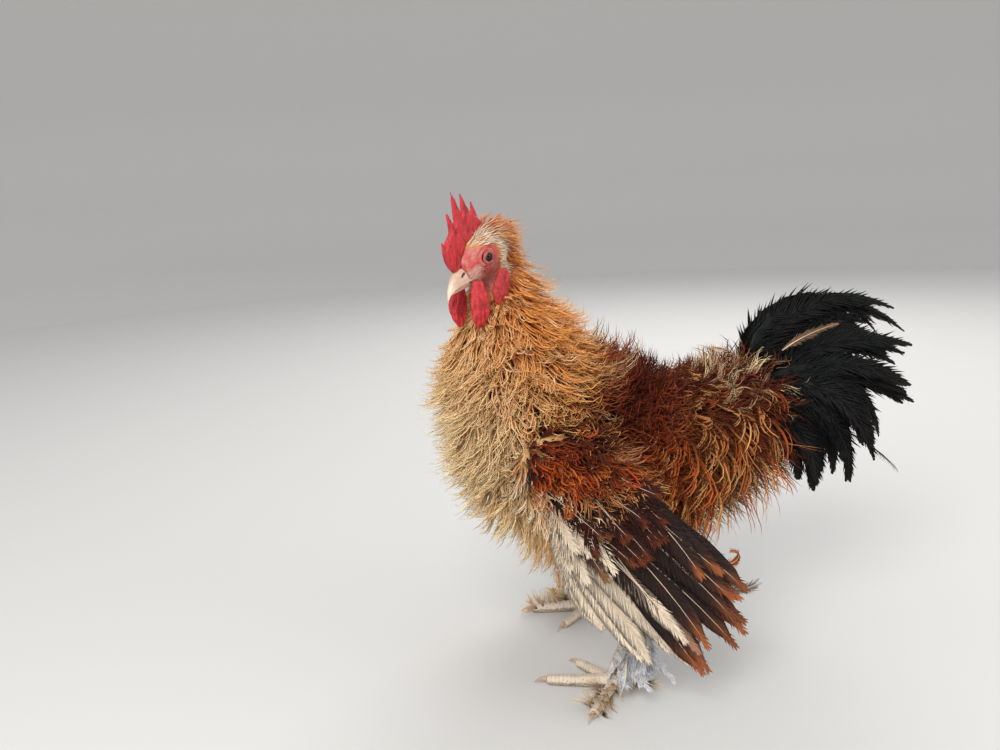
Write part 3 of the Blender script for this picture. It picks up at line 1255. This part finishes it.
# The bill. Cream horn in two halves, faintly streaked along its length, with a slit of a nostril on each side
# in a soft pink cere, and a darker line where the halves meet.
HORN, HORN_TIP, CERE, NOSTRIL_TINT = sun(206, 168, 146), sun(232, 212, 190), sun(204, 144, 128), sun(52, 30, 26)
NOSTRIL = (0.0325, 0.0062, -0.0030)
horn_material, shader, brush = new_material(
    "horn", 0.34, (1.0, 0.6, 0.4), Subsurface_Weight=0.08, Subsurface_Scale=0.002
)
streak, wear = grain(brush, 1400, 2), grain(brush, 220, 4)
tone = streak.span(0.3, 0.7) * 0.12 + wear.span(0.25, 0.75) * 0.2 + 0.78
lay(shader, brush, tone, wear.span(0.2, 0.8) * 0.25 + 0.25, streak * 0.4 + wear * 0.6, 0.0003)
for half in ("upper", "lower"):
    piece = modelled_on(f"bill_{half}", [f"beak_{half}"], 0.0004, 4)
    places = vertex_rows(piece.data)
    ahead, left, up = in_head(places).T
    slit = np.hypot((ahead - NOSTRIL[0]) / 2.3, up - NOSTRIL[2] + 0.30 * (ahead - NOSTRIL[0])) / 0.00105
    slit = rise(1.5 - slit, 0.0, 0.8) * (half == "upper") * rise(np.abs(left), 0.002, 0.004)
    hood = np.exp(-(((ahead - 0.0325) / 0.0045) ** 2) - (((up + 0.0012) / 0.0022) ** 2)) * (half == "upper")
    pushed(piece, 0.0007 * hood - 0.0014 * slit + 0.0003 * (speckle(places, 380, 7) - 0.5))
    soft = rise(0.034 - ahead, 0.0, 0.010)
    paint = mixed(mixed(HORN, HORN_TIP, rise(ahead, 0.040, 0.050)), CERE, soft * 0.75)
    stain(piece, mixed(paint, NOSTRIL_TINT, slit))
    hung(piece, horn_material, "horn", f"beak_{half}")


# The eyes. Each is a wet ball with a black pupil in a dark amber iris, and a fleshy lid is rolled round it
# as one closed ring that stands a little off the ball.
EYE_RADIUS = 0.0053
PUPIL, IRIS, IRIS_RIM = sun(5, 4, 4), sun(58, 25, 12), sun(20, 10, 7)
LID_FLUSH, LID_DEEP, LID_OUT, LID_UP, LID_THICK = sun(186, 98, 88), sun(122, 62, 54), 0.0048, 0.0030, 0.0016
eye_material, shader, brush = new_material(
    "eye_wet", 0.16, Coat_Weight=0.35, Coat_Roughness=0.02, IOR=1.4, Specular_IOR_Level=0.25
)
lay(shader, brush, grain(brush, 1800, 2).span(0.3, 0.7) * 0.5 + 0.7)
lid_material, shader, brush = new_material("eyelid", 0.42, Subsurface_Weight=0.12, Subsurface_Scale=0.002)
creases = grain(brush, 1300, 3)
lay(shader, brush, creases.span(0.25, 0.75) * 0.4 + 0.7, None, creases, 0.0005)
for side in SIDES:
    sign = -SIDES[side]
    middle = head_point(EYE_PLACE[0], EYE_PLACE[1] * sign, EYE_PLACE[2])
    gaze = (FORWARD * GAZE[0] + LEFTWARD * GAZE[1] * sign + UPWARD * GAZE[2]).normalized()
    turn = gaze.to_track_quat("Z", "Y").to_matrix().to_4x4()
    ball = bmesh.new()
    seat = Matrix.Translation(middle) @ turn
    bmesh.ops.create_uvsphere(ball, u_segments=48, v_segments=40, radius=EYE_RADIUS, matrix=seat)
    eye = add_object(f"eye_ball_{side}", ball)
    eye.data.shade_smooth()
    away = unit(vertex_rows(eye.data) - np.array(middle))
    angle = np.degrees(np.arccos(np.clip(away @ np.array(gaze), -1, 1)))
    stain(eye, mixed(mixed(PUPIL, IRIS, rise(angle, 27, 31)), IRIS_RIM, rise(angle, 33, 42)))
    hung(eye, eye_material, "eye", f"eye_{side}")
    lids = bmesh.new()
    roll = Matrix.Translation((LID_OUT, 0, LID_UP)) @ Matrix.Rotation(math.radians(90), 4, "X")
    rim = bmesh.ops.create_circle(lids, segments=12, radius=LID_THICK, matrix=roll)["verts"]
    edges = list({e for v in rim for e in v.link_edges})
    bmesh.ops.spin(lids, geom=rim + edges, cent=(0, 0, 0), axis=(0, 0, 1), angle=2 * math.pi, steps=56, use_merge=True)
    bmesh.ops.remove_doubles(lids, verts=lids.verts[:], dist=0.000005)
    for v in lids.verts:
        v.co.x *= 0.86
        v.co.z += 0.0004 * math.sin(3 * math.atan2(v.co.y, v.co.x)) + 0.0003 * noise.noise(v.co * 900)
    bmesh.ops.transform(lids, verts=lids.verts[:], matrix=seat)
    lid = add_object(f"eyelid_{side}", lids)
    lid.data.shade_smooth()
    flush = speckle(vertex_rows(lid.data), 500, 12)
    stain(lid, mixed(LID_FLUSH, LID_DEEP, rise(flush, 0.4, 0.7)))
    hung(lid, lid_material, "face_skin")


# The legs. Scales plate the shanks and toes: wide bands in front and along the tops of the toes, and small
# beads behind and below. Claws and spurs are horn.
FOOT_MIDDLE = {"left": (-0.029, -0.075), "right": (-0.005, 0.066)}
BAND_SHANK, BAND_TOE, BEAD = 0.0046, 0.0036, 0.0019
SCALE_PALE, SCALE_DEEP, SCALE_COOL = sun(222, 206, 184), sun(148, 122, 102), sun(190, 188, 188)
CLAW_TIP = sun(168, 142, 120)
scale_material, shader, brush = new_material("leg_scale", 0.42, Specular_IOR_Level=0.4)
grit, wear = grain(brush, 1600, 3), grain(brush, 160, 4)
tone = grit.span(0.25, 0.75) * 0.18 + wear.span(0.25, 0.75) * 0.25 + 0.7
lay(shader, brush, tone, wear.span(0.2, 0.8) * 0.3 + 0.32, grit * 0.5 + wear * 0.5, 0.0003)


def beads(points, size):
    """1 in the middle of each small scale and 0 in the grooves between them."""
    found = np.array([noise.voronoi(Vector(p) / size)[0][:2] for p in points])
    return rise(found[:, 1] - found[:, 0], 0.02, 0.35)


legs = {}
for side in SIDES:
    piece = modelled_on(f"leg_{side}", [f"shank_{side}", f"foot_{side}"], 0.0008, 4)
    places, outward = vertex_rows(piece.data), vertex_rows(piece.data, "normal")
    x, y, z = own(places)
    foot = FOOT_MIDDLE[side]
    out = np.hypot(x - foot[0], y - foot[1])
    shank = rise(z, 0.016, 0.024)
    step = np.where(shank > 0.5, z / BAND_SHANK, out / BAND_TOE)
    band = step - np.floor(step)
    plate = rise(band, 0.0, 0.14) * (1 - 0.35 * band)
    front = np.where(shank > 0.5, rise(-outward[:, 0], -0.25, 0.15), rise(outward[:, 2], 0.0, 0.35))
    bead = beads(places, BEAD)
    height = plate * front + bead * (1 - front)
    pushed(piece, 0.00055 * height - 0.00035)
    paint = mixed(SCALE_DEEP, SCALE_PALE, rise(height, 0.05, 0.55))
    stain(piece, mixed(paint, SCALE_COOL, shank * 0.6))
    hung(piece, scale_material, "leg_scales", f"shank_{side}", f"foot_{side}")
    legs[side] = piece
    for toe in ("inner", "middle", "outer", "hind", "spur"):
        node = f"spur_{side}" if toe == "spur" else f"claw_{side}_{toe}"
        piece = modelled_on(f"horn_{node}", [node], 0.0004, 3)
        places = vertex_rows(piece.data)
        out = np.hypot(*(places[:, :2] - np.array(SHIFT + Vector((*foot, 0)))[:2]).T)
        stain(piece, mixed(HORN, CLAW_TIP, rise(out, out.min(), out.max()) * 0.6))
        hung(piece, horn_material, "horn", node)


# The feathers of the shanks and outer toes. Loose blue-white and grey ones flare outwards down the shanks,
# and short brown and cream curls grow along the outer toes.
def outer_side(side, low, high, clear):
    """Picks the outer side of a leg between two heights, clear of its middle."""

    def inside(points):
        _, y, z = own(points)
        return (z > low) & (z < high) & ((y - FOOT_MIDDLE[side][1]) * SIDES[side] > clear)

    return inside


for side, sign in SIDES.items():
    boots = Plumage(60 + sign)
    roots, outward = surface_points(legs[side], outer_side(side, 0.020, 0.085, -0.001), 0.0056, 160)
    lie = along_skin(np.array([0.30, 0.75 * sign, -0.42]), outward)
    shape = dict(waves=1.4, low=14, lean=0.35, spread=0.35, sway=0.35, sunk=0.0005)
    length = 0.042 * (0.4 + 0.6 * rise(own(roots)[2], 0.02, 0.055))
    lines = courses(roots, outward, lie, boots.rng, steps=7, length=length, lift=12, curl=46, fall=0.35, **shape)
    tone = speckle(roots, 160, 14)
    spots = np.stack([0.1 + 0.8 * tone, 0.1 + 8 * (roots[:, 2] - SHIFT.z)], 1)
    downy = dict(barb_width=0.0009, curl=46, ragged=0.4, shaft=0.0006, web=0.3)
    root = mixed(GREY, BLUE_WHITE, rise(tone, 0.20, 0.42))
    barbed(boots, lines, 0.013, 22, root, BLUE_WHITE, SHAFT_TINT, spots, **downy)

    roots, outward = surface_points(legs[side], outer_side(side, 0.004, 0.018, 0.008), 0.0046, 161)
    roots, outward = (np.repeat(rows, 8, axis=0) for rows in (roots, outward))
    lie = along_skin(np.array([-0.35, 0.9 * sign, 0.25]), outward)
    shape.update(steps=6, length=0.019, lift=34, curl=80, fall=0.3, strands=8, splay=0.55)
    lines = courses(roots, outward, lie, boots.rng, **shape)
    tone = speckle(roots, 260, 15)
    spots = np.stack([0.1 + 0.8 * tone, np.full(len(tone), 0.9)], 1)
    boots.add(lines, 0.0008, 0.0002, mixed(TAN, UMBER, rise(tone, 0.45, 0.7) * 0.7), CREAM, spots)
    hung(boots.join(f"boot_{side}"), feather_material, "leg_plumage")


# The floor and the lights. A plain pale sheet is bent up far behind the bird on all sides, and three wide lamps
# and a pale sky light it softly.
BOWL_LINE = ((3.2, 0.0), (4.0, 0.10), (4.6, 0.42), (5.0, 1.0), (5.15, 2.3))
bowl = bmesh.new()
line = [bowl.verts.new((out, 0, height)) for out, height in BOWL_LINE]
edges = [bowl.edges.new(pair) for pair in zip(line, line[1:])]
bmesh.ops.spin(bowl, geom=line + edges, cent=(0, 0, 0), axis=(0, 0, 1), angle=2 * math.pi, steps=96, use_merge=True)
bmesh.ops.remove_doubles(bowl, verts=bowl.verts[:], dist=0.0001)
bmesh.ops.holes_fill(bowl, edges=[e for e in bowl.edges if e.is_boundary and e.verts[0].co.z < 0.01])
floor = add_object("floor", bowl)
for face in floor.data.polygons:
    face.use_smooth = len(face.vertices) == 4
if floor.data.polygons[-1].normal.z < 0:
    floor.data.flip_normals()
floor_material, shader, brush = new_material("pale_floor", 0.85)
shader.inputs["Base Color"].default_value = (0.62, 0.61, 0.59, 1)
finish_with(floor, floor_material)
LAMPS = (
    # where it stands from the bird, its size and its strength
    ("key", (-1.1, -1.5, 1.7), 1.3, 44),
    ("fill", (1.7, -1.2, 1.0), 1.6, 14),
    ("rim", (0.9, 1.5, 1.6), 1.2, 22),
)
for name, place, size, power in LAMPS:
    lamp = bpy.data.lights.new(name, "AREA")
    lamp.size, lamp.energy = size, power
    holder = bpy.data.objects.new(name, lamp)
    scene.collection.objects.link(holder)
    holder.location = place
    holder.rotation_euler = (Vector((0, 0, 0.2)) - Vector(place)).to_track_quat("-Z", "Y").to_euler()
world = bpy.data.worlds.new("studio")
world.use_nodes = True
world.node_tree.nodes["Background"].inputs[0].default_value = (0.86, 0.87, 0.89, 1)
world.node_tree.nodes["Background"].inputs[1].default_value = 0.75
scene.world = world
scene.view_settings.view_transform = "Standard"
